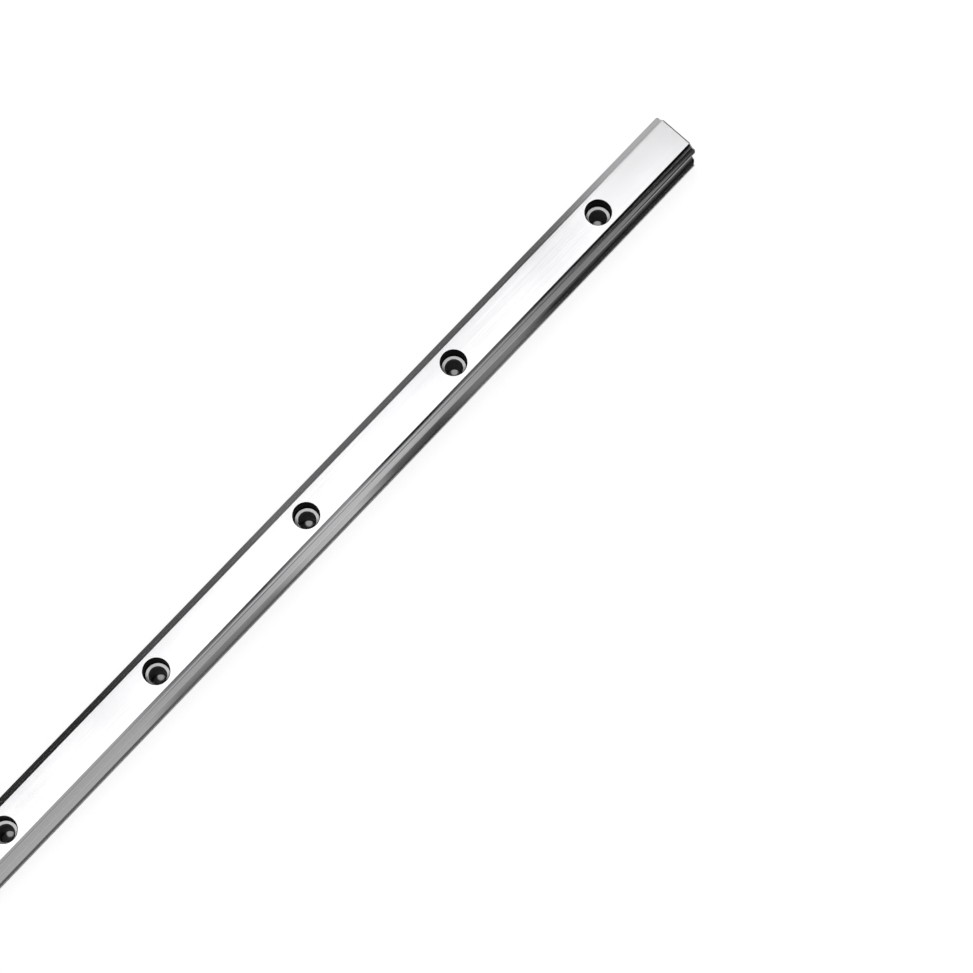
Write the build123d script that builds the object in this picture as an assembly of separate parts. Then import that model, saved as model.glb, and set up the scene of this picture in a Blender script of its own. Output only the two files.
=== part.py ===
from build123d import *
from math import cos, radians, sin, sqrt
import os

# Linear guide rail: one bar of hardened steel with four ground ball raceways and a row of
# counterbored screw holes. Millimetres. X runs along the rail, Z is up, and the origin is at
# the middle of the underside. The hole row is measured from the +X end.

# Bar
RAIL_LENGTH = 300.0
RAIL_WIDTH = 15.0
RAIL_HEIGHT = 15.0
END_CHAMFER = 0.4

# Screw holes
HOLE_PITCH = 60.0
FIRST_HOLE_DISTANCE = 33.0
LEAST_END_DISTANCE = 10.0
COUNTERBORE_DIAMETER = 7.5
COUNTERBORE_DEPTH = 5.3
SCREW_HOLE_DIAMETER = 4.5
RIM_CHAMFER = 0.15
SEAT_CHAMFER = 0.35
UNDERSIDE_CHAMFER = 0.3

# Raceways: each is a groove a little wider than the ball, ground into a slope of the head.
# A land is what is left of the slope beside a groove: UPPER_LAND and RIDGE_LAND lie above and
# below the upper groove, and LOWER_LAND above the lower one. Slopes are from the horizontal.
BALL_DIAMETER = 3.175
GROOVE_CLEARANCE = 0.06
UPPER_GROOVE_DEPTH = 0.4
UPPER_LAND = 0.8
RIDGE_LAND = 0.4
UPPER_SLOPE = 45.0
LOWER_GROOVE_DEPTH = 0.45
LOWER_LAND = 0.4
LOWER_SLOPE = 57.0

# Sides: the ridge between the raceways, the neck under them and the foot
RIDGE_HEIGHT = 1.25
NECK_HEIGHT = 1.6
FLARE_FILLET = 1.5
FOOT_HEIGHT = 4.6
FOOT_CHAMFER = 0.5

GROOVE_RADIUS = BALL_DIAMETER / 2 + GROOVE_CLEARANCE


def on_slope(length, slope):
    """The step across and up that a length along a slope makes."""
    return Vector(length * cos(radians(slope)), length * sin(radians(slope)))


def groove_chord(depth):
    """The width at its mouth of a groove sunk to this depth."""
    return 2 * sqrt(GROOVE_RADIUS**2 - (GROOVE_RADIUS - depth) ** 2)


def rail_section():
    """The whole section, with its height along the sketch's Y."""
    side = RAIL_WIDTH / 2
    upper_land = on_slope(UPPER_LAND, UPPER_SLOPE)
    upper_chord = on_slope(groove_chord(UPPER_GROOVE_DEPTH), UPPER_SLOPE)
    ridge_land = on_slope(RIDGE_LAND, UPPER_SLOPE)
    lower_land = on_slope(LOWER_LAND, LOWER_SLOPE)
    lower_chord = on_slope(groove_chord(LOWER_GROOVE_DEPTH), LOWER_SLOPE)

    # The head's right side, down from the flat top to the neck
    head_slope = upper_land + upper_chord + ridge_land
    flat_edge = Vector(side - head_slope.X, RAIL_HEIGHT)
    upper_groove_top = flat_edge + Vector(upper_land.X, -upper_land.Y)
    upper_groove_bottom = upper_groove_top + Vector(upper_chord.X, -upper_chord.Y)
    ridge_top = Vector(side, RAIL_HEIGHT - head_slope.Y)
    ridge_bottom = ridge_top - Vector(0, RIDGE_HEIGHT)
    lower_groove_top = ridge_bottom - lower_land
    neck_top = lower_groove_top - lower_chord

    # The foot's right side, up from the underside to the neck
    underside_edge = Vector(side - FOOT_CHAMFER, 0)
    foot_bottom = Vector(side, FOOT_CHAMFER)
    foot_top = Vector(side, FOOT_HEIGHT)
    neck_bottom = neck_top - Vector(0, NECK_HEIGHT)

    with BuildSketch() as half:
        with BuildLine():
            Polyline((0, 0), underside_edge, foot_bottom, foot_top, neck_bottom, neck_top)
            RadiusArc(neck_top, lower_groove_top, GROOVE_RADIUS)
            Polyline(lower_groove_top, ridge_bottom, ridge_top, upper_groove_bottom)
            RadiusArc(upper_groove_bottom, upper_groove_top, GROOVE_RADIUS)
            Polyline(upper_groove_top, flat_edge, (0, RAIL_HEIGHT), (0, 0))
        make_face()
        fillet(half.vertices().sort_by_distance(neck_bottom)[0], FLARE_FILLET)
    return half.sketch + mirror(half.sketch, about=Plane.YZ)


def screw_hole_cutter():
    """One counterbored hole, turned about Z from the underside up to the flat top."""
    recess = COUNTERBORE_DIAMETER / 2
    hole = SCREW_HOLE_DIAMETER / 2
    seat = RAIL_HEIGHT - COUNTERBORE_DEPTH
    with BuildPart() as cutter:
        with BuildSketch(Plane.XZ):
            with BuildLine():
                Polyline(
                    (0, 0),
                    (hole + UNDERSIDE_CHAMFER, 0),
                    (hole, UNDERSIDE_CHAMFER),
                    (hole, seat - SEAT_CHAMFER),
                    (hole + SEAT_CHAMFER, seat),
                    (recess, seat),
                    (recess, RAIL_HEIGHT - RIM_CHAMFER),
                    (recess + RIM_CHAMFER, RAIL_HEIGHT),
                    (0, RAIL_HEIGHT),
                    close=True,
                )
            make_face()
        revolve(axis=Axis.Z)
    return cutter.part


def hole_places():
    """Where the screw holes lie along X: one a pitch, as many as the length has room for."""
    room = RAIL_LENGTH - FIRST_HOLE_DISTANCE - LEAST_END_DISTANCE
    first = RAIL_LENGTH / 2 - FIRST_HOLE_DISTANCE
    return [first - HOLE_PITCH * number for number in range(int(room // HOLE_PITCH) + 1)]


def guide_rail():
    """The bar: its section drawn out along X, the end edges broken and the holes bored."""
    end_plane = Plane(origin=(-RAIL_LENGTH / 2, 0, 0), x_dir=(0, 1, 0), z_dir=(1, 0, 0))
    bar = extrude(end_plane * rail_section(), amount=RAIL_LENGTH)
    ends = bar.faces().sort_by(Axis.X)
    bar = chamfer(ends[0].edges() + ends[-1].edges(), END_CHAMFER)
    cutter = screw_hole_cutter()
    return bar - [Pos(place, 0, 0) * cutter for place in hole_places()]


os.makedirs("parts", exist_ok=True)
rail = guide_rail()
export_step(rail, "parts/guide_rail.step")
print("screw holes at", [round(place, 3) for place in hole_places()])
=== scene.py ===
from math import atan2, cos, pi, radians, sin, sqrt, tan

import bmesh
import bpy
from mathutils import Matrix, Vector


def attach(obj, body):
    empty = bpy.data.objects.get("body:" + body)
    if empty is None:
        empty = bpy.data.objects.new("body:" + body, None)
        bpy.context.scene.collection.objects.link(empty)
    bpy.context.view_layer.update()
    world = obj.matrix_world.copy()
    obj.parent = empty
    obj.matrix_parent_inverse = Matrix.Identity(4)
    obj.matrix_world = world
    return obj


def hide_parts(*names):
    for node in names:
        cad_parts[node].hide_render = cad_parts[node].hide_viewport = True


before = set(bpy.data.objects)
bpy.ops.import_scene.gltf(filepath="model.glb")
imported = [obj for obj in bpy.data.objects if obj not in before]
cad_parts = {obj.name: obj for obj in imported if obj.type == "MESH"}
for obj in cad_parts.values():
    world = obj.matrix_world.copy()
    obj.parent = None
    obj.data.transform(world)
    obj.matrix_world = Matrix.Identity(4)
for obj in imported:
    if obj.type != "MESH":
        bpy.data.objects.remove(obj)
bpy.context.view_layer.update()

# Linear guide rail. Sizes are in millimetres and are the CAD model's own. X runs along the rail,
# Z is up. The section is given as its left half, with y outwards, and the right half mirrors it.
MM = 0.001

# Bar
RAIL_LENGTH = 300.0
RAIL_WIDTH = 15.0
RAIL_HEIGHT = 15.0
END_CHAMFER = 0.4

# Screw holes
HOLE_PITCH = 60.0
FIRST_HOLE_DISTANCE = 33.0
HOLE_COUNT = 5
COUNTERBORE_DIAMETER = 7.5
COUNTERBORE_DEPTH = 5.3
SCREW_HOLE_DIAMETER = 4.5
RIM_CHAMFER = 0.15
SEAT_CHAMFER = 0.35
UNDERSIDE_CHAMFER = 0.3

# Raceways, with the flat lands that the grinding wheel leaves beside them
GROOVE_RADIUS = 1.6475
UPPER_GROOVE_DEPTH = 0.4
UPPER_LAND = 0.8
RIDGE_LAND = 0.4
UPPER_SLOPE = 45.0
LOWER_GROOVE_DEPTH = 0.45
LOWER_LAND = 0.4
LOWER_SLOPE = 57.0

# Sides
RIDGE_HEIGHT = 1.25
NECK_HEIGHT = 1.6
FLARE_FILLET = 1.5
FOOT_HEIGHT = 4.6
FOOT_CHAMFER = 0.5

# How far the grinding has broken each kind of edge
FLAT_EDGE_RADIUS = 0.1
GROOVE_EDGE_RADIUS = 0.04
RIDGE_EDGE_RADIUS = 0.12
FOOT_EDGE_RADIUS = 0.12
CHAMFER_EDGE_RADIUS = 0.07
INSET_EDGE_RADIUS = 0.02
BORE_EDGE_RADIUS = 0.05
SEAT_CORNER_RADIUS = 0.25

# The bright ring that the spot facing leaves on a counterbore's seat
SPOT_FACE_DIAMETER = 6.9

# How finely the round forms are divided
GROOVE_STEPS = 18
EDGE_STEPS = 4
SIDE_STEPS = 24

# How far an outline's end points, which only give it direction, lie from its first and last corners
LEAD = 1.0

# How far from each end of the bar its last full section lies
LAST_SECTION = 1.0

# Finishes, in the order of the rail's material slots
# The recess's finish and the drilled finish are near black: partly dark scale, partly painted shade in the
# holes.
GROUND, RACEWAY, DRAWN, SCALE_AND_PAINTED_SHADE, SPOT_FACED, DRILLED, SAWN = range(7)

# The rail's sides as the camera sees them, and the way each lies along Y
LEFT, RIGHT = 1, -1

# The points of the half section where the flat top ends and where the underside ends
TOP_EDGE, UNDERSIDE_EDGE = 0, -1

# How much broader the streaks are than the tool lines, how far the lines break up the wear, how much
# brighter worn metal is, and how far the oil film changes the roughness
STREAK_COARSENESS = 7.0
WEAR_ACROSS_LINES = (0.5, 1.2)
WORN_BRIGHTNESS = 1.15
FILM_ROUGHNESS = 0.04


class Corner:
    """One sharp corner of an outline, how far it is rounded, and the finish that follows it."""

    def __init__(self, place, radius=0.0, finish=GROUND, steps=EDGE_STEPS):
        self.place = Vector(place)
        self.radius = radius
        self.finish = finish
        self.steps = steps


class OutlinePoint:
    """A point of a rounded outline, with its outward normal and the share of it that is worn."""

    def __init__(self, place, normal, finish, wear=0.0):
        self.place = place
        self.normal = normal
        self.finish = finish
        self.wear = wear


def left_of(direction):
    """The direction a quarter turn to the left of this one."""
    return Vector((-direction.y, direction.x))


def turned(direction, angle):
    """The direction turned to the left by an angle."""
    return Matrix.Rotation(angle, 2) @ direction


def inset(corners, distance):
    """The same outline, drawn this far inside, with its end points left where they are."""
    moved = [corners[0]]
    for before, corner, after in zip(corners, corners[1:], corners[2:]):
        first = left_of((corner.place - before.place).normalized())
        second = left_of((after.place - corner.place).normalized())
        step = (first + second) / (1 + first.dot(second)) * distance
        moved.append(Corner(corner.place - step, corner.radius, corner.finish, corner.steps))
    return moved + [corners[-1]]


def rounded(corners):
    """The outline's points, with each corner rounded to its radius. Its end points only give direction."""
    points = []
    for before, corner, after in zip(corners, corners[1:], corners[2:]):
        arriving = (corner.place - before.place).normalized()
        leaving = (after.place - corner.place).normalized()
        turn = atan2(arriving.x * leaving.y - arriving.y * leaving.x, arriving.dot(leaving))
        if not corner.radius:
            normal = left_of(turned(arriving, turn / 2))
            points.append(OutlinePoint(corner.place, normal, corner.finish))
            continue
        side = -1.0 if turn < 0 else 1.0
        start = corner.place - arriving * corner.radius * tan(abs(turn) / 2)
        centre = start + left_of(arriving) * corner.radius * side
        for step in range(corner.steps + 1):
            share = step / corner.steps
            normal = left_of(turned(arriving, turn * share))
            wear = sin(pi * share) if turn < 0 else 0.0
            place = centre - normal * corner.radius * side
            points.append(OutlinePoint(place, normal, corner.finish, wear))
    return points


def down_slope(length, slope):
    """The step outwards and down that a length along a slope makes."""
    return Vector((length * cos(radians(slope)), -length * sin(radians(slope))))


def groove_chord(depth):
    """The width at its mouth of a groove sunk to this depth."""
    return 2 * sqrt(GROOVE_RADIUS**2 - (GROOVE_RADIUS - depth) ** 2)


def groove(start, end):
    """The points along a groove's arc, from one edge to the other, without the edges themselves."""
    chord = end - start
    outwards = left_of(chord.normalized())
    reach = sqrt(GROOVE_RADIUS**2 - (chord.length / 2) ** 2)
    centre = (start + end) / 2 + outwards * reach
    arm = start - centre
    sweep = 2 * atan2(chord.length / 2, reach)
    angles = [sweep * step / GROOVE_STEPS for step in range(1, GROOVE_STEPS)]
    return [Corner(centre + turned(arm, angle), 0.0, RACEWAY) for angle in angles]


def half_section():
    """The left half of the section as sharp corners, from the flat top round to the underside."""
    side = RAIL_WIDTH / 2
    upper_land = down_slope(UPPER_LAND, UPPER_SLOPE)
    upper_chord = down_slope(groove_chord(UPPER_GROOVE_DEPTH), UPPER_SLOPE)
    ridge_land = down_slope(RIDGE_LAND, UPPER_SLOPE)
    lower_land = down_slope(LOWER_LAND, LOWER_SLOPE)
    lower_chord = down_slope(groove_chord(LOWER_GROOVE_DEPTH), LOWER_SLOPE)
    inwards = Vector((-1, 1))

    head_slope = upper_land + upper_chord + ridge_land
    ridge_top = Vector((side, RAIL_HEIGHT + head_slope.y))
    upper_groove_bottom = ridge_top - ridge_land
    upper_groove_top = upper_groove_bottom - upper_chord
    flat_edge = upper_groove_top - upper_land
    ridge_bottom = ridge_top - Vector((0, RIDGE_HEIGHT))
    lower_groove_top = ridge_bottom + lower_land * inwards
    neck_top = lower_groove_top + lower_chord * inwards
    neck_bottom = neck_top - Vector((0, NECK_HEIGHT))

    return [
        Corner((0, RAIL_HEIGHT)),
        Corner(flat_edge, FLAT_EDGE_RADIUS, RACEWAY),
        Corner(upper_groove_top, GROOVE_EDGE_RADIUS, RACEWAY),
        *groove(upper_groove_top, upper_groove_bottom),
        Corner(upper_groove_bottom, GROOVE_EDGE_RADIUS, RACEWAY),
        Corner(ridge_top, RIDGE_EDGE_RADIUS, RACEWAY),
        Corner(ridge_bottom, RIDGE_EDGE_RADIUS, RACEWAY),
        Corner(lower_groove_top, GROOVE_EDGE_RADIUS, RACEWAY),
        *groove(lower_groove_top, neck_top),
        Corner(neck_top, GROOVE_EDGE_RADIUS, DRAWN),
        Corner(neck_bottom, FLARE_FILLET, DRAWN, 2 * EDGE_STEPS),
        Corner((side, FOOT_HEIGHT), FOOT_EDGE_RADIUS),
        Corner((side, FOOT_CHAMFER), CHAMFER_EDGE_RADIUS),
        Corner((side - FOOT_CHAMFER, 0), CHAMFER_EDGE_RADIUS),
        Corner((0, 0)),
    ]


def section_points(depth):
    """The rounded half section, drawn inside the real one by a depth. Every depth has as many points."""
    if depth == 0:
        return rounded(half_section())
    corners = inset(half_section(), depth)
    for corner in corners:
        if 0 < corner.radius < FLARE_FILLET:
            corner.radius = max(corner.radius - depth, INSET_EDGE_RADIUS)
    points = rounded(corners)
    for point in points:
        point.wear = 0.0
    return points


def bore_points():
    """One counterbored hole's outline, down from the flat top to the underside: radius and height."""
    recess = COUNTERBORE_DIAMETER / 2
    hole = SCREW_HOLE_DIAMETER / 2
    seat = RAIL_HEIGHT - COUNTERBORE_DEPTH
    return rounded([
        Corner((recess + LEAD, RAIL_HEIGHT)),
        Corner((recess + RIM_CHAMFER, RAIL_HEIGHT), BORE_EDGE_RADIUS, SCALE_AND_PAINTED_SHADE),
        Corner((recess, RAIL_HEIGHT - RIM_CHAMFER), BORE_EDGE_RADIUS, SCALE_AND_PAINTED_SHADE),
        Corner((recess, seat), SEAT_CORNER_RADIUS, SCALE_AND_PAINTED_SHADE),
        Corner((SPOT_FACE_DIAMETER / 2, seat), 0.0, SPOT_FACED),
        Corner((hole + SEAT_CHAMFER, seat), BORE_EDGE_RADIUS, DRILLED),
        Corner((hole, seat - SEAT_CHAMFER), BORE_EDGE_RADIUS, DRILLED),
        Corner((hole, UNDERSIDE_CHAMFER), BORE_EDGE_RADIUS, DRILLED),
        Corner((hole + UNDERSIDE_CHAMFER, 0), BORE_EDGE_RADIUS, GROUND),
        Corner((hole + LEAD, 0)),
    ])


def end_points():
    """How the section draws in over the end: distance from the end face, and minus the depth inside."""
    return rounded([
        Corner((-LEAD, 0)),
        Corner((-END_CHAMFER, 0), CHAMFER_EDGE_RADIUS, SAWN),
        Corner((0, -END_CHAMFER), CHAMFER_EDGE_RADIUS, SAWN),
        Corner((0, -LEAD)),
    ])


def hole_places():
    """Where the screw holes lie along X, from the +X end."""
    first = RAIL_LENGTH / 2 - FIRST_HOLE_DISTANCE
    return [first - HOLE_PITCH * number for number in range(HOLE_COUNT)]


class Skin:
    """The rail's surface as it is built up: points with their true normals, faces with their finish."""

    def __init__(self):
        self.points = []
        self.normals = []
        self.wear = []
        self.faces = []
        self.finishes = []

    def point(self, place, normal, wear=0.0):
        """Adds a point, its place in millimetres, and gives its number."""
        self.points.append(Vector(place) * MM)
        self.normals.append(Vector(normal).normalized())
        self.wear.append(wear)
        return len(self.points) - 1

    def face(self, corners, finish):
        """Adds a face between the points of these numbers."""
        self.faces.append(corners)
        self.finishes.append(finish)

    def strip(self, one, other, finishes):
        """Faces between two rows of as many points."""
        for number, finish in enumerate(finishes):
            self.face([one[number], one[number + 1], other[number + 1], other[number]], finish)

    def band(self, one, other, finish):
        """Faces between two closed rings of as many points."""
        self.strip(one + one[:1], other + other[:1], [finish] * len(one))

    def mesh(self, name):
        """The skin as a mesh, with its faces turned outwards and its points' true normals."""
        mesh = bpy.data.meshes.new(name)
        mesh.from_pydata(self.points, [], self.faces)
        mesh.polygons.foreach_set("material_index", self.finishes)
        worn = mesh.attributes.new("wear", "FLOAT", "POINT")
        worn.data.foreach_set("value", self.wear)
        work = bmesh.new()
        work.from_mesh(mesh)
        bmesh.ops.recalc_face_normals(work, faces=work.faces)
        work.to_mesh(mesh)
        work.free()
        mesh.shade_smooth()
        mesh.normals_split_custom_set_from_vertices(self.normals)
        mesh.validate()
        return mesh


class Ring:
    """The section's points at one place along the rail, on its left side and on its right.

    At the chamfered ends the normals lean over, towards the +X end (1) or the -X end (-1).
    """

    def __init__(self, skin, along, section, lean=0.0, towards=1):
        self.along = along
        self.finishes = [point.finish for point in section[:-1]]
        self.sides = []
        for side in (LEFT, RIGHT):
            row = []
            for point in section:
                place = (along, side * point.place.x, point.place.y)
                flat = Vector((0, side * point.normal.x, point.normal.y))
                normal = flat * cos(lean) + Vector((towards, 0, 0)) * sin(lean)
                row.append(skin.point(place, normal, point.wear))
            self.sides.append(row)

    def outline(self):
        """The whole section's points in order, right round."""
        left, right = self.sides
        return left + right[::-1]


def add_end(skin, ring, towards):
    """The chamfered end beyond the last full ring, and the end face."""
    for point in end_points():
        lean = atan2(point.normal.x, point.normal.y)
        along = towards * (RAIL_LENGTH / 2 + point.place.x)
        depth = max(0.0, -point.place.y)
        following = Ring(skin, along, section_points(depth), lean, towards)
        finishes = [GROUND] * len(ring.finishes) if depth > 0 else ring.finishes
        for one, other in zip(ring.sides, following.sides):
            skin.strip(one, other, finishes)
        for edge in (TOP_EDGE, UNDERSIDE_EDGE):
            left, right = (side[edge] for side in ring.sides)
            next_left, next_right = (side[edge] for side in following.sides)
            skin.face([left, right, next_right, next_left], GROUND)
        ring = following
    skin.face(ring.outline(), SAWN)


def side_shares():
    """Even shares from -1 to 1, one for each point along a side of a hole's square."""
    return [2 * step / SIDE_STEPS - 1 for step in range(SIDE_STEPS + 1)]


class HolePatch:
    """The square of the flat top or the underside around one hole, with its columns at both ends."""

    def __init__(self, skin, rings, edge, normal):
        left = [ring.sides[0][edge] for ring in rings]
        right = [ring.sides[1][edge] for ring in rings]
        self.columns = []
        for left_corner, right_corner in ((left[0], right[0]), (left[-1], right[-1])):
            corner = skin.points[left_corner] / MM
            places = [(corner.x, corner.y * share, corner.z) for share in side_shares()[1:-1]]
            inner = [skin.point(place, normal) for place in places]
            self.columns.append([right_corner, *inner, left_corner])
        first, last = self.columns
        self.loop = right[:-1] + last[:-1] + left[:0:-1] + first[:0:-1]


def add_hole(skin, along, top, bottom):
    """The counterbored hole between the patch of the flat top and the patch of the underside."""
    count = len(top.loop)
    first_corner = radians(-135)
    ring, finish = top.loop, GROUND
    for point in bore_points():
        following = []
        for number in range(count):
            angle = first_corner + 2 * pi * number / count
            across = Vector((cos(angle), sin(angle)))
            place = (along + point.place.x * across.x, point.place.x * across.y, point.place.y)
            normal = (-point.normal.x * across.x, -point.normal.x * across.y, -point.normal.y)
            following.append(skin.point(place, normal, point.wear))
        skin.band(ring, following, finish)
        ring, finish = following, point.finish
    skin.band(ring, bottom.loop, GROUND)


def build_rail():
    """The whole rail as one closed skin."""
    skin = Skin()
    section = section_points(0.0)
    half_patch = section[0].place.x
    groups = []
    for place in sorted(hole_places()):
        along = [place + half_patch * share for share in side_shares()]
        groups.append([Ring(skin, x, section) for x in along])

    columns = []
    for place, rings in zip(sorted(hole_places()), groups):
        for one, other in zip(rings, rings[1:]):
            for side, next_side in zip(one.sides, other.sides):
                skin.strip(side, next_side, one.finishes)
        top = HolePatch(skin, rings, TOP_EDGE, (0, 0, 1))
        bottom = HolePatch(skin, rings, UNDERSIDE_EDGE, (0, 0, -1))
        add_hole(skin, place, top, bottom)
        columns.append((top.columns, bottom.columns))

    for (one, other), (before, after) in zip(zip(groups, groups[1:]), zip(columns, columns[1:])):
        for side, next_side in zip(one[-1].sides, other[0].sides):
            skin.strip(side, next_side, one[-1].finishes)
        for (_, start), (end, _) in zip(before, after):
            skin.face(start + end[::-1], GROUND)

    for towards, rings, ends in ((-1, groups[0], columns[0]), (1, groups[-1], columns[-1])):
        nearest = rings[0] if towards < 0 else rings[-1]
        last = Ring(skin, towards * (RAIL_LENGTH / 2 - LAST_SECTION), section)
        for side, next_side in zip(nearest.sides, last.sides):
            skin.strip(side, next_side, nearest.finishes)
        for (first_column, last_column), edge in zip(ends, (TOP_EDGE, UNDERSIDE_EDGE)):
            column = first_column if towards < 0 else last_column
            skin.face(column + [side[edge] for side in last.sides], GROUND)
        add_end(skin, last, towards)

    return skin.mesh("guide_rail_ground")


def add_object(name, data):
    """An object with this mesh, lamp or camera, put in the scene."""
    added = bpy.data.objects.new(name, data)
    bpy.context.scene.collection.objects.link(added)
    return added


def feed(tree, socket, value):
    """Joins a socket to another one, or sets it to a number or colour."""
    if isinstance(value, bpy.types.NodeSocket):
        tree.links.new(value, socket)
    else:
        socket.default_value = value


def make_group(name, inputs, outputs):
    """An empty shader group with its named sockets: each is (name, socket type, starting value)."""
    group = bpy.data.node_groups.new(name, "ShaderNodeTree")
    for direction, sockets in (("INPUT", inputs), ("OUTPUT", outputs)):
        for socket_name, kind, start in sockets:
            socket = group.interface.new_socket(socket_name, in_out=direction, socket_type=kind)
            if start is not None:
                socket.default_value = start
    return group, group.nodes.new("NodeGroupInput"), group.nodes.new("NodeGroupOutput")


def place_group(tree, group, values):
    """A shader group placed in a material, its named inputs fed with these sockets, numbers or colours."""
    node = tree.nodes.new("ShaderNodeGroup")
    node.node_tree = group
    for name, value in values.items():
        feed(tree, node.inputs[name], value)
    return node.outputs


def math_node(tree, operation, *values):
    """The result of a Math node on one or two sockets or numbers."""
    node = tree.nodes.new("ShaderNodeMath")
    node.operation = operation
    for socket, value in zip(node.inputs, values):
        feed(tree, socket, value)
    return node.outputs[0]


def remap(tree, value, low, high):
    """A value from 0 to 1 spread between two numbers or sockets."""
    node = tree.nodes.new("ShaderNodeMapRange")
    for name, fed in (("Value", value), ("To Min", low), ("To Max", high)):
        feed(tree, node.inputs[name], fed)
    return node.outputs["Result"]


def smooth_change(tree, value, start, end, low=0.0, high=1.0):
    """A smooth change from low, where the value is at start, to high, where it is at end."""
    node = tree.nodes.new("ShaderNodeMapRange")
    node.interpolation_type = "SMOOTHSTEP"
    ends = (("From Min", start), ("From Max", end), ("To Min", low), ("To Max", high))
    for name, fed in (("Value", value), *ends):
        feed(tree, node.inputs[name], fed)
    return node.outputs["Result"]


def mix_colours(tree, share, first, second):
    """One colour turning into another as the share goes from 0 to 1."""
    node = tree.nodes.new("ShaderNodeMix")
    node.data_type = "RGBA"
    node.clamp_factor = True
    feed(tree, node.inputs["Factor"], share)
    for name, colour in (("A", first), ("B", second)):
        socket = next(s for s in node.inputs if s.name == name and s.type == "RGBA")
        feed(tree, socket, colour)
    return next(s for s in node.outputs if s.type == "RGBA")


def noise(tree, vector, detail, roughness=0.5):
    """Noise from 0 to 1 whose patches are as large as the vector's unit."""
    node = tree.nodes.new("ShaderNodeTexNoise")
    values = (("Vector", vector), ("Scale", 1.0), ("Detail", detail), ("Roughness", roughness))
    for name, value in values:
        feed(tree, node.inputs[name], value)
    return node.outputs["Fac"]


def split_axes(tree, vector):
    """The X, Y and Z of a vector."""
    node = tree.nodes.new("ShaderNodeSeparateXYZ")
    feed(tree, node.inputs[0], vector)
    return list(node.outputs)


def join_axes(tree, *axes):
    """A vector of this X, Y and Z."""
    node = tree.nodes.new("ShaderNodeCombineXYZ")
    for socket, value in zip(node.inputs, axes):
        feed(tree, socket, value)
    return node.outputs[0]


def object_place(tree):
    """A point's place in its object's own axes, in metres."""
    return tree.nodes.new("ShaderNodeTexCoord").outputs["Object"]


def make_tool_lines():
    """Fine lines that a wheel, die or cutter leaves, running along the vector's X, and broader streaks."""
    group, given, made = make_group(
        "tool_lines",
        [
            ("Vector", "NodeSocketVector", None),
            ("Line Width", "NodeSocketFloat", 0.0001),
            ("Line Length", "NodeSocketFloat", 0.02),
        ],
        [("Lines", "NodeSocketFloat", None), ("Streaks", "NodeSocketFloat", None)],
    )
    along, across, up = split_axes(group, given.outputs["Vector"])
    for name, coarser, detail in (("Lines", 1.0, 3.0), ("Streaks", STREAK_COARSENESS, 2.0)):
        width = math_node(group, "MULTIPLY", given.outputs["Line Width"], coarser)
        length = math_node(group, "MULTIPLY", given.outputs["Line Length"], coarser)
        sizes = ((along, length), (across, width), (up, width))
        scaled = [math_node(group, "DIVIDE", value, size) for value, size in sizes]
        group.links.new(noise(group, join_axes(group, *scaled), detail), made.inputs[name])
    return group


def make_oil_film():
    """Faint patches where the preserving oil lies thicker or has been wiped."""
    group, given, made = make_group(
        "oil_film",
        [("Vector", "NodeSocketVector", None), ("Patch Size", "NodeSocketFloat", 0.03)],
        [("Film", "NodeSocketFloat", None)],
    )
    scaled = group.nodes.new("ShaderNodeVectorMath")
    scaled.operation = "SCALE"
    feed(group, scaled.inputs[0], given.outputs["Vector"])
    feed(group, scaled.inputs["Scale"], math_node(group, "DIVIDE", 1.0, given.outputs["Patch Size"]))
    group.links.new(noise(group, scaled.outputs[0], detail=2.0, roughness=0.45), made.inputs["Film"])
    return group


def make_edge_wear():
    """The bare, brighter metal along the broken edges, where tools and carriages have rubbed."""
    group, given, made = make_group(
        "edge_wear",
        [
            ("Color", "NodeSocketColor", None),
            ("Worn Color", "NodeSocketColor", None),
            ("Roughness", "NodeSocketFloat", 0.3),
            ("Worn Roughness", "NodeSocketFloat", 0.15),
            ("Lines", "NodeSocketFloat", 0.5),
        ],
        [("Color", "NodeSocketColor", None), ("Roughness", "NodeSocketFloat", None)],
    )
    worn = group.nodes.new("ShaderNodeAttribute")
    worn.attribute_name = "wear"
    across_lines = remap(group, given.outputs["Lines"], *WEAR_ACROSS_LINES)
    share = math_node(group, "MULTIPLY", worn.outputs["Fac"], across_lines)
    colour = mix_colours(group, share, given.outputs["Color"], given.outputs["Worn Color"])
    roughness = group.nodes.new("ShaderNodeMix")
    feed(group, roughness.inputs["Factor"], share)
    feed(group, roughness.inputs["A"], given.outputs["Roughness"])
    feed(group, roughness.inputs["B"], given.outputs["Worn Roughness"])
    group.links.new(colour, made.inputs["Color"])
    group.links.new(roughness.outputs["Result"], made.inputs["Roughness"])
    return group


def along_rail(tree, rail_vector):
    """Lines run along the rail."""
    return rail_vector


def across_end(tree, rail_vector):
    """Lines run across the end face, from side to side."""
    along, across, up = split_axes(tree, rail_vector)
    return join_axes(tree, across, up, along)


def past_nearest_hole(tree, along):
    """How far along the rail a place lies from the axis of the nearest screw hole."""
    first_pitch = min(hole_places()) - HOLE_PITCH / 2
    moved = math_node(tree, "SUBTRACT", along, first_pitch * MM)
    pitches = math_node(tree, "DIVIDE", moved, HOLE_PITCH * MM)
    share = math_node(tree, "SUBTRACT", math_node(tree, "FRACT", pitches), 0.5)
    return math_node(tree, "MULTIPLY", share, HOLE_PITCH * MM)


def distance_from_axis(tree, along, across):
    """The length of a step that is given by its two parts."""
    squares = [math_node(tree, "MULTIPLY", value, value) for value in (along, across)]
    return math_node(tree, "SQRT", math_node(tree, "ADD", *squares))


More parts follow.
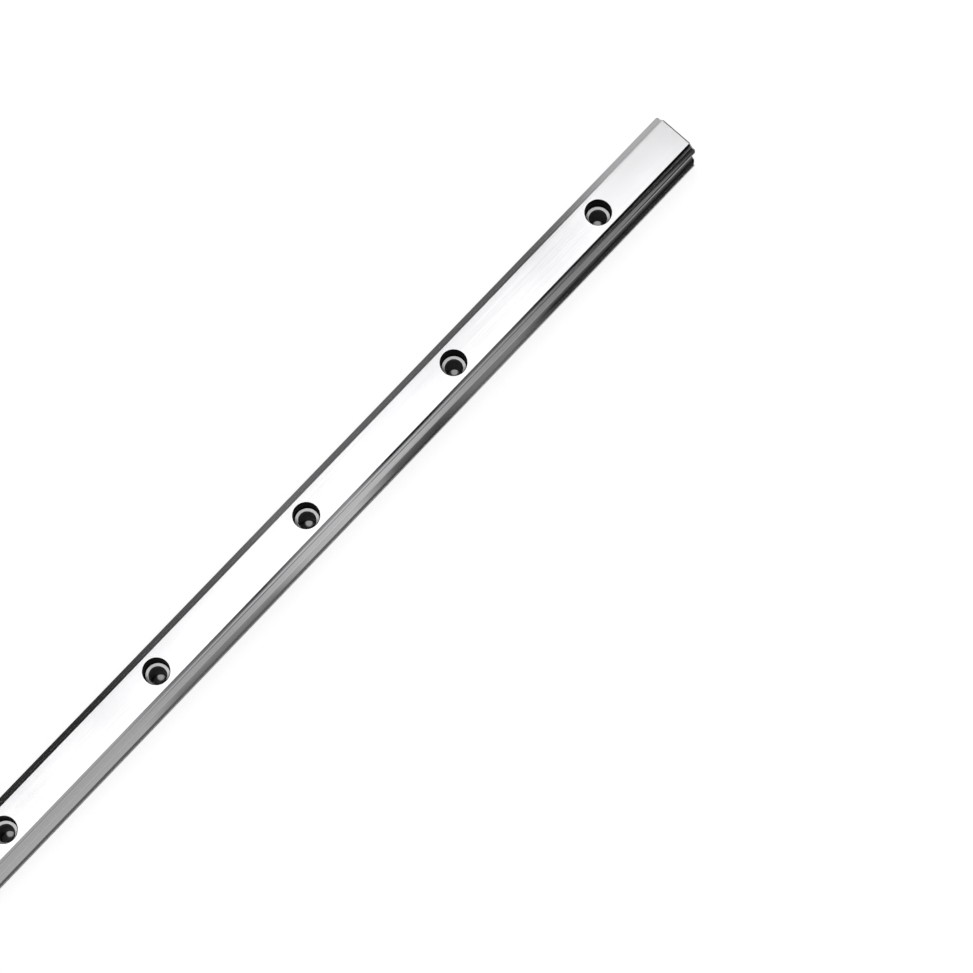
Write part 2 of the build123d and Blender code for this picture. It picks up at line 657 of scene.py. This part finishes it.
def round_hole(tree, rail_vector):
    """Lines run round the nearest screw hole."""
    along, across, up = split_axes(tree, rail_vector)
    past_hole = past_nearest_hole(tree, along)
    radius = distance_from_axis(tree, past_hole, across)
    angle = math_node(tree, "ARCTAN2", across, past_hole)
    run = math_node(tree, "MULTIPLY", angle, COUNTERBORE_DIAMETER / 2 * MM)
    return join_axes(tree, run, radius, up)


TOOL_LINES = make_tool_lines()
OIL_FILM = make_oil_film()
EDGE_WEAR = make_edge_wear()


def steel(name, run, colour, dull, roughness, line_width, line_length, line_depth,
          metallic=1.0, specular=0.5):
    """A steel finish, whose tool lines go the way that run says: along_rail, across_end or round_hole.

    colour is that of the brightest lines and dull that of the dullest. roughness is (lowest, highest).
    The lines' width, length and depth are in millimetres.
    """
    material = bpy.data.materials.new(name)
    material.use_nodes = True
    tree = material.node_tree
    shader = tree.nodes["Principled BSDF"]
    shader.inputs["Metallic"].default_value = metallic
    shader.inputs["Specular IOR Level"].default_value = specular
    rail_vector = object_place(tree)

    lines = place_group(tree, TOOL_LINES, {
        "Vector": run(tree, rail_vector),
        "Line Width": line_width * MM,
        "Line Length": line_length * MM,
    })
    film = place_group(tree, OIL_FILM, {"Vector": rail_vector})
    lined = remap(tree, lines["Lines"], *roughness)
    filmed = remap(tree, film["Film"], -FILM_ROUGHNESS, FILM_ROUGHNESS)
    worn_colour = [min(1.0, value * WORN_BRIGHTNESS) for value in colour]
    wear = place_group(tree, EDGE_WEAR, {
        "Color": mix_colours(tree, lines["Streaks"], (*dull, 1.0), (*colour, 1.0)),
        "Worn Color": (*worn_colour, 1.0),
        "Roughness": math_node(tree, "ADD", lined, filmed),
        "Worn Roughness": roughness[0],
        "Lines": lines["Lines"],
    })
    tree.links.new(wear["Color"], shader.inputs["Base Color"])
    tree.links.new(wear["Roughness"], shader.inputs["Roughness"])

    bump = tree.nodes.new("ShaderNodeBump")
    feed(tree, bump.inputs["Distance"], line_depth * MM)
    feed(tree, bump.inputs["Height"], lines["Lines"])
    tree.links.new(bump.outputs["Normal"], shader.inputs["Normal"])
    return material


def rail_materials():
    """The rail's finishes: GROUND, RACEWAY, DRAWN, SCALE_AND_PAINTED_SHADE, SPOT_FACED, DRILLED and SAWN, in that order."""
    return [
        steel("ground_flat", along_rail, colour=(0.64, 0.64, 0.65), dull=(0.6, 0.6, 0.61),
              roughness=(0.14, 0.26), line_width=0.09, line_length=30.0, line_depth=0.0015),
        steel("ground_raceway", along_rail, colour=(0.62, 0.62, 0.63), dull=(0.6, 0.6, 0.61),
              roughness=(0.1, 0.18), line_width=0.05, line_length=60.0, line_depth=0.0002),
        steel("drawn_side", along_rail, colour=(0.58, 0.58, 0.59), dull=(0.55, 0.55, 0.555),
              roughness=(0.1, 0.17), line_width=0.16, line_length=30.0, line_depth=0.0003),
        # The recess wall and the through hole are near black and almost without sheen: partly dark scale,
        # partly painted shade for the deep holes.
        steel("scale_and_painted_shade_recess", round_hole, colour=(0.004, 0.004, 0.004), dull=(0.002, 0.002, 0.002),
              roughness=(0.4, 0.55), line_width=0.12, line_length=6.0, line_depth=0.003,
              metallic=0.0, specular=0.005),
        steel("spot_faced_seat", round_hole, colour=(0.66, 0.66, 0.66), dull=(0.56, 0.56, 0.56),
              roughness=(0.4, 0.5), line_width=0.12, line_length=6.0, line_depth=0.001,
              metallic=0.0, specular=0.1),
        steel("drilled_hole_painted_shade", round_hole, colour=(0.035, 0.035, 0.036), dull=(0.02, 0.02, 0.0205),
              roughness=(0.4, 0.55), line_width=0.12, line_length=6.0, line_depth=0.003,
              metallic=0.0, specular=0.03),
        steel("sawn_end", across_end, colour=(0.5, 0.5, 0.51), dull=(0.4, 0.4, 0.405),
              roughness=(0.24, 0.4), line_width=0.12, line_length=5.0, line_depth=0.005),
    ]


# Camera, in metres
CAMERA_PLACE = Vector((-0.1750, -0.2474, 1.1663))
CAMERA_TARGET = Vector((0.03697, -0.03113, 0.015))
CAMERA_UP = Vector((0.7118, 0.6548, 0.2541))
CAMERA_LENS = 158.65
CAMERA_SENSOR = 36.0

# Lamps, in metres and watts
OVERHEAD_SIZE = (1.19, 0.52)
OVERHEAD_PLACE = (-0.025, 0.35, 1.5)
OVERHEAD_TARGET = (-0.025, 0.35, 0.0)
OVERHEAD_POWER = 3.5
FILL_SIZE = (0.25, 0.25)
FILL_PLACE = (-0.44, -0.42, 1.32)
FILL_TARGET = (0.0, 0.0, 0.0)
FILL_POWER = 15.0

# World: white below one elevation in degrees, grey above another
WORLD_WHITE_BELOW = 12.0
WORLD_GREY_ABOVE = 35.0
WORLD_GREY = 0.5

# Floor, in metres, with its colour and its own glow where nothing covers it
FLOOR_SIZE = 8.0
FLOOR_DROP = 0.0001
FLOOR_GREY = 0.45
FLOOR_GLOW = 0.75

# The painted contact shadow beside the rail and the painted patch of light in each screw hole, in
# millimetres. The patch's place is how far its middle lies from the hole's axis along and across the rail.
CONTACT_SHADOW = 0.08
LIGHT_PATCH_PLACE = (1.22, 1.18)
LIGHT_PATCH_RADIUS = 1.25
LIGHT_PATCH_GLOW = 0.28

# Tent round the rail, a glowing card that paints reflections into the metal, in millimetres and degrees
TENT_RADIUS = 300.0
TENT_FOOT = -2
TENT_STEP = 7
RIGHT_TENT_TOP = 89
LEFT_TENT_TOP = 75

# Black flag just inside the tent, a painted dark reflection: where its slanting end is, as places on the
# rail where the camera sees it mirrored, each with its elevation
FLAG_END = ((105, -6), (119, 12), (125, 32), (134, 51), (142, 72), (147, 94))
FLAG_SHARE = 0.97
FLAG_REACH = 290.0

# Painted-reflection cards: the greys of the even ones, how soft their ends are, and how high those on the
# floor lie
BLACK = 0.02
CEILING_GREY = 0.7
SOFT_END = 30.0
SOFT_END_SHARE = 0.25
FLOOR_CARD_HEIGHT = 0.3
TONE_MARGIN = 1.0

# Card on the floor past the far end, and card overhead: the y of their edges, how high they lie and the x
# where they begin
END_CARD_EDGES = (-10.0, 40.0)
END_CARD_HEIGHT = 0.5
END_CARD_START = 172.0
END_CARD_END = 330.0
END_CARD_REACH = 54.0
CEILING_EDGES = (-200.0, 1000.0)
CEILING_HEIGHT = 1500.0
CEILING_START = 540.0

# Narrow upright card to the rail's right: its edges as (y, z), and how far the mirrored ray comes to it
STRIP_EDGES = [(-15.0, 15.5), (-15.0, 17.7)]
STRIP_REACH = 10.0


def shown_ray(tree):
    """1 for the rays that show a thing itself: straight from the camera, off metal or through glass."""
    path = tree.nodes.new("ShaderNodeLightPath").outputs
    seen = math_node(tree, "MAXIMUM", path["Is Camera Ray"], path["Is Glossy Ray"])
    return math_node(tree, "MAXIMUM", seen, path["Is Transmission Ray"])


def staging_material(piece, name):
    """The nodes of a new material on a staging piece, with only their output."""
    material = bpy.data.materials.new(name)
    material.use_nodes = True
    tree = material.node_tree
    tree.nodes.remove(tree.nodes["Principled BSDF"])
    piece.data.materials.append(material)
    return tree


def floor_glow(tree):
    """How strongly the floor glows: evenly in the open; under the rail and just beside it not at all, a
    painted shadow, but for a painted patch of light by each hole.
    """
    along, across, _ = split_axes(tree, object_place(tree))
    # The glow stops a little way out from the rail's sides, a painted contact shadow; under the rail only
    # painted patches of light remain.
    half_width = (RAIL_WIDTH / 2 + CONTACT_SHADOW) * MM
    beside = math_node(tree, "GREATER_THAN", math_node(tree, "ABSOLUTE", across), half_width)
    half_length = RAIL_LENGTH / 2 * MM
    beyond = math_node(tree, "GREATER_THAN", math_node(tree, "ABSOLUTE", along), half_length)
    patch_along, patch_across = (place * MM for place in LIGHT_PATCH_PLACE)
    from_along = math_node(tree, "SUBTRACT", past_nearest_hole(tree, along), patch_along)
    from_across = math_node(tree, "SUBTRACT", across, patch_across)
    distance = distance_from_axis(tree, from_along, from_across)
    patch = smooth_change(tree, distance, LIGHT_PATCH_RADIUS * MM, LIGHT_PATCH_RADIUS / 2 * MM)
    painted_hole_light = math_node(tree, "MULTIPLY", patch, LIGHT_PATCH_GLOW)
    return remap(tree, math_node(tree, "MAXIMUM", beside, beyond), painted_hole_light, FLOOR_GLOW)


def make_floor():
    """A white floor that keeps the rail's soft shadow, with painted shade under and just beside the rail
    and painted light patches in the holes.
    """
    half = FLOOR_SIZE / 2
    corners = [(-half, -half, 0), (half, -half, 0), (half, half, 0), (-half, half, 0)]
    mesh = bpy.data.meshes.new("floor")
    mesh.from_pydata(corners, [], [(0, 1, 2, 3)])
    floor = add_object("floor", mesh)
    floor.location = (0, 0, -FLOOR_DROP)

    tree = staging_material(floor, "white_floor")
    matt = tree.nodes.new("ShaderNodeBsdfDiffuse")
    matt.inputs["Color"].default_value = (FLOOR_GREY, FLOOR_GREY, FLOOR_GREY, 1.0)
    glow = tree.nodes.new("ShaderNodeEmission")
    feed(tree, glow.inputs["Strength"], math_node(tree, "MULTIPLY", shown_ray(tree), floor_glow(tree)))
    both = tree.nodes.new("ShaderNodeAddShader")
    feed(tree, both.inputs[0], matt.outputs[0])
    feed(tree, both.inputs[1], glow.outputs[0])
    tree.links.new(both.outputs[0], tree.nodes["Material Output"].inputs["Surface"])


def make_world():
    """White low down, all round, and grey overhead."""
    world = bpy.data.worlds.new("studio")
    world.use_nodes = True
    tree = world.node_tree
    direction = tree.nodes.new("ShaderNodeTexCoord").outputs["Generated"]
    white_below, grey_above = sin(radians(WORLD_WHITE_BELOW)), sin(radians(WORLD_GREY_ABOVE))
    up = split_axes(tree, direction)[2]
    strength = smooth_change(tree, up, white_below, grey_above, low=1.0, high=WORLD_GREY)
    tree.links.new(strength, tree.nodes["Background"].inputs["Strength"])
    tree.nodes["Background"].inputs["Color"].default_value = (1.0, 1.0, 1.0, 1.0)
    world.cycles.sampling_method = "NONE"
    bpy.context.scene.world = world


def make_lamp(name, size, place, target, power):
    """A softbox of this size, aimed at a point."""
    data = bpy.data.lights.new(name, "AREA")
    data.shape = "RECTANGLE"
    data.size, data.size_y = size
    data.energy = power
    lamp = add_object(name, data)
    lamp.location = place
    lamp.rotation_mode = "QUATERNION"
    lamp.rotation_quaternion = (Vector(target) - Vector(place)).to_track_quat("-Z", "Y")
    return lamp


def make_lamps(rail):
    """A large softbox overhead, and a small fill that lights only the rail's matt surfaces."""
    make_lamp("overhead_softbox", OVERHEAD_SIZE, OVERHEAD_PLACE, OVERHEAD_TARGET, OVERHEAD_POWER)
    fill = make_lamp("fill", FILL_SIZE, FILL_PLACE, FILL_TARGET, FILL_POWER)
    fill.visible_glossy = False
    filled = bpy.data.collections.new("filled")
    filled.objects.link(rail)
    fill.light_linking.receiver_collection = filled


def mirrored(place, reach):
    """Where along the rail the ray mirrored at a place on it is, once it has come this far out."""
    ray = (Vector((place, 0, RAIL_HEIGHT)) - CAMERA_PLACE / MM).normalized()
    return place + reach * ray.x / sqrt(1 - ray.x**2)


def around(side, elevation, share=1.0):
    """The y and z of a point of the tent on the rail's left or right, at a share of its radius."""
    angle = radians(elevation)
    across, up = side * TENT_RADIUS * cos(angle), RAIL_HEIGHT + TENT_RADIUS * sin(angle)
    return across * share, up * share


def tent_side(side, top):
    """The edges of one side of the tent, from its foot up to the top's elevation."""
    return [around(side, elevation) for elevation in range(TENT_FOOT, top + 1, TENT_STEP)]


def level(one, other, height=FLOOR_CARD_HEIGHT):
    """The edges of a level card, at these distances from the rail's middle: minus on the right."""
    return [(one, height), (other, height)]


def even(grey):
    """The tones of a card that is one grey all along."""
    return [(0, grey)]


def painted_reflection_tones(tree, along, reach, tones):
    """The grey along a card, from (place on the rail, grey): the camera sees that grey mirrored there, as
    a painted reflection.
    """
    places = [mirrored(place, reach) for place, _ in tones]
    start, length = places[0] - TONE_MARGIN, places[-1] - places[0] + 2 * TONE_MARGIN
    share = tree.nodes.new("ShaderNodeMapRange")
    ends = (("From Min", start * MM), ("From Max", (start + length) * MM))
    for name, fed in (("Value", along), *ends):
        feed(tree, share.inputs[name], fed)
    ramp = tree.nodes.new("ShaderNodeValToRGB")
    stops = ramp.color_ramp.elements
    while len(stops) < len(tones):
        stops.new(1.0)
    if len(tones) < len(stops):
        stops.remove(stops[-1])
    for stop, place, (_, grey) in zip(stops, places, tones):
        stop.position = (place - start) / length
        stop.color = (grey, grey, grey, 1.0)
    feed(tree, ramp.inputs["Fac"], share.outputs["Result"])
    return ramp.outputs["Color"]


def card_mesh(name, edges, begins, far_end):
    """The long strips between a card's edges, each from its own beginning to the far end."""
    points = [(x, y, z) for x, (y, z) in zip(begins, edges)]
    points += [(far_end, y, z) for y, z in edges]
    count = len(edges)
    strips = [(i, i + 1, i + 1 + count, i + count) for i in range(count - 1)]
    mesh = bpy.data.meshes.new(name)
    mesh.from_pydata([Vector(point) * MM for point in points], [], strips)
    return mesh


def make_card(name, edges, reach, tones, starts=None, far_end=None):
    """A glowing card of long strips that only the metal's reflections show, with soft ends: a painted
    reflection.

    Each edge is the (y, z) of a line along the rail. reach is how far the mirrored ray comes before it
    meets the card. A card is as long as the camera's view of the rail needs, unless starts gives the x
    where each edge begins, which is then a sharp end, or far_end the x where they all end.
    """
    soft = SOFT_END + SOFT_END_SHARE * reach
    near_end = mirrored(-RAIL_LENGTH / 2, reach) - soft
    far_end = far_end or mirrored(RAIL_LENGTH / 2, reach) + soft
    begins = starts or [near_end] * len(edges)
    card = add_object(name, card_mesh(name, edges, begins, far_end))
    card.visible_camera = False
    card.visible_diffuse = False
    card.visible_shadow = False

    tree = staging_material(card, name)
    along = split_axes(tree, object_place(tree))[0]
    glow = tree.nodes.new("ShaderNodeEmission")
    feed(tree, glow.inputs["Color"], painted_reflection_tones(tree, along, reach, tones))
    whole = smooth_change(tree, along, far_end * MM, (far_end - soft) * MM)
    if not starts:
        begun = smooth_change(tree, along, near_end * MM, (near_end + soft) * MM)
        whole = math_node(tree, "MULTIPLY", whole, begun)
    clear = tree.nodes.new("ShaderNodeBsdfTransparent")
    blend = tree.nodes.new("ShaderNodeMixShader")
    for socket, value in zip(blend.inputs, (whole, clear.outputs[0], glow.outputs[0])):
        feed(tree, socket, value)
    tree.links.new(blend.outputs[0], tree.nodes["Material Output"].inputs["Surface"])


def make_right_cards():
    """The tent, flag, strip and floor cards that paint the reflected bands along the rail's right side."""
    make_card("right_tent", tent_side(RIGHT, RIGHT_TENT_TOP), reach=TENT_RADIUS, tones=[
        (-83, 0.58), (-44, 0.52), (-27, 0.61), (-10, 0.76), (25, 0.76), (58, 0.48), (100, 0.31)])
    make_card("right_flag", [around(RIGHT, elevation, FLAG_SHARE) for _, elevation in FLAG_END],
              reach=FLAG_REACH, tones=even(BLACK),
              starts=[mirrored(place, FLAG_REACH) for place, _ in FLAG_END])
    make_card("right_strip", STRIP_EDGES, reach=STRIP_REACH, tones=[
        (-83, 0.56), (-61, 0.24), (-44, 0.16), (-27, 0.05), (-10, 0.26), (8, 0.38), (25, 0.0),
        (42, 0.0), (58, 0.14), (73, 0.12), (88, 0.0)])
    make_card("right_far_floor", level(-300.0, -28.0), reach=54.0, tones=[
        (-83, 0.58), (-44, 0.54), (-10, 0.76), (8, 0.76), (42, 0.6), (73, 0.42), (92, 0.3), (105, 0.02)])
    make_card("right_middle_floor", level(-28.0, -19.0), reach=14.0, tones=[
        (-75, 0.65), (-44, 0.45), (-10, 0.75), (8, 0.8), (25, 0.32), (42, 0.22), (73, 0.38), (92, 0.38),
        (104, 0.34)])
    make_card("right_near_floor", level(-19.0, -11.0), reach=14.0, tones=[
        (-76, 0.66), (-62, 0.28), (-25, 0.3), (-10, 0.7), (8, 0.8), (25, 0.15), (42, 0.08), (58, 0.27),
        (74, 0.3), (90, 0.0)])
    make_card("right_ridge_floor", level(-11.0, -9.3), reach=12.0, tones=[
        (-83, 0.56), (-44, 0.46), (-10, 0.66), (8, 0.7), (25, 0.5), (73, 0.48), (117, 0.42)])
    make_card("right_contact", level(-9.3, -7.6), reach=3.0, tones=[
        (8, 0.12), (42, 0.03), (58, 0.14), (73, 0.14), (96, 0.02)])


def make_left_cards():
    """The tent and floor cards that paint the reflected dark band along the rail's left side."""
    tones = [(-75, 0.035), (-61, 0.1), (-27, 0.16), (-10, 0.24), (8, 0.2), (42, 0.17), (104, 0.15),
             (117, 0.42), (128, 0.67)]
    make_card("left_tent", tent_side(LEFT, LEFT_TENT_TOP), reach=TENT_RADIUS, tones=tones)
    make_card("left_far_floor", level(300.0, 60.0), reach=80.0, tones=tones)
    make_card("left_near_floor", level(60.0, 7.6), reach=15.0, tones=tones)


def make_cards():
    """All the cards that paint reflections: those on both sides, a black one on the floor past the far
    end, and the ceiling.
    """
    make_right_cards()
    make_card("end_floor", level(*END_CARD_EDGES, END_CARD_HEIGHT), reach=END_CARD_REACH,
              tones=even(BLACK), starts=[END_CARD_START] * 2, far_end=END_CARD_END)
    make_left_cards()
    make_card("ceiling", level(*CEILING_EDGES, CEILING_HEIGHT), reach=CEILING_HEIGHT,
              tones=even(CEILING_GREY), starts=[CEILING_START] * 2)


def make_camera():
    """A long lens almost straight above the rail."""
    data = bpy.data.cameras.new("camera")
    data.lens = CAMERA_LENS
    data.sensor_width = CAMERA_SENSOR
    camera = add_object("camera", data)
    back = (CAMERA_PLACE - CAMERA_TARGET).normalized()
    right = CAMERA_UP.cross(back).normalized()
    turn = Matrix((right, back.cross(right), back)).transposed()
    camera.matrix_world = Matrix.Translation(CAMERA_PLACE) @ turn.to_4x4()
    bpy.context.scene.camera = camera


rail = add_object("guide_rail_ground", build_rail())
for finish in rail_materials():
    rail.data.materials.append(finish)
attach(rail, "root")
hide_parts("guide_rail")

make_floor()
make_world()
make_cards()
make_lamps(rail)
make_camera()
bpy.context.scene.view_settings.view_transform = "Standard"
